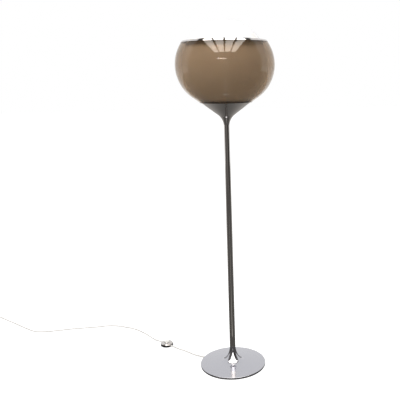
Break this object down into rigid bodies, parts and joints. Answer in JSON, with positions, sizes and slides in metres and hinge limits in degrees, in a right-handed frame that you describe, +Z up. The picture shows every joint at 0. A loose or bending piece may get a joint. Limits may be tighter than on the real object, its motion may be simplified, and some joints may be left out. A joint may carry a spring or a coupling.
{
  "type": "floor lamp",
  "caption": "Floor lamp with a weighted trumpet foot, slim stem, smoked bowl round an opal globe with a lift-off dome, and a lead with a foot switch, wound end and plug.",
  "frame": {"origin": "on the floor under the middle of the stem", "axes": "+Z up along the stem; the lead leaves the foot at the back left, and -Y is the front"},
  "size_m": [1.7087, 0.9477, 1.5014],
  "materials": {
    "satin_chrome": "satin chromed spun steel",
    "chrome": "polished",
    "black_rubber": "matte",
    "cast_iron": "rough casting",
    "felt": "felt",
    "zinc_steel": "plated",
    "brass": "turned",
    "smoked_acrylic": "transparent brown, polished",
    "opal_acrylic": "opal, satin",
    "white_plastic": "smooth",
    "black_plastic": "fine grain",
    "cord_plastic": "soft sheath",
    "frosted_glass": "frosted inside"
  },
  "bodies": {
    "lamp": {"base_cover": "satin_chrome", "edge_ring": "black_rubber", "base_weight": "cast_iron", "base_felt": "felt", "cord_grommet": "cord_plastic", "cord_stop": "black_plastic", "foot_nipple": "zinc_steel", "foot_washer": "zinc_steel", "foot_nut": "brass", "stem_tube": "chrome", "stem_foot_plug": "brass", "stem_head_plug": "brass", "stem_lead": "cord_plastic", "cup": "chrome", "head_nipple": "zinc_steel", "carrier_flange": "zinc_steel", "shade_washer": "felt", "smoked_shade": "smoked_acrylic", "globe_spacer": "black_rubber", "lower_diffuser": "opal_acrylic", "clamp_washer": "zinc_steel", "clamp_nut": "brass", "rim_ring": "chrome", "holder_cap": "white_plastic", "holder_insert": "white_plastic", "holder_contacts": "brass", "holder_sleeve": "brass", "holder_shell": "white_plastic", "switch_base": "black_plastic", "switch_feet": "black_rubber", "switch_screws": "zinc_steel", "switch_cover": "chrome", "switch_spring": "zinc_steel", "switch_leads": "cord_plastic", "switch_sleeves": "cord_plastic", "switch_contacts": "brass", "switch_cord": "cord_plastic", "mains_cord": "cord_plastic", "mains_coil": "cord_plastic", "cord_tie": "black_plastic", "plug_cord": "cord_plastic", "plug_body": "white_plastic", "plug_pins": "brass"},
    "dome": {"upper_diffuser": "opal_acrylic"},
    "bulb": {"bulb_cap": "zinc_steel", "bulb_glass": "frosted_glass"},
    "button": {"switch_button": "white_plastic"}
  },
  "joints": [
    {"name": "dome_lift", "type": "slide", "parent": "lamp", "child": "dome", "axis": [0, 0, 1], "range_m": [0, 0.15]},
    {"name": "bulb_release", "type": "slide", "parent": "lamp", "child": "bulb", "axis": [0, 0, 1], "range_m": [0, 0.028]},
    {"name": "button_press", "type": "slide", "parent": "lamp", "child": "button", "axis": [0, 0, -1], "range_m": [0, 0.003], "stiffness_N_per_m": 400, "springref_m": -0.004, "deforming": ["switch_spring"]}
  ]
}
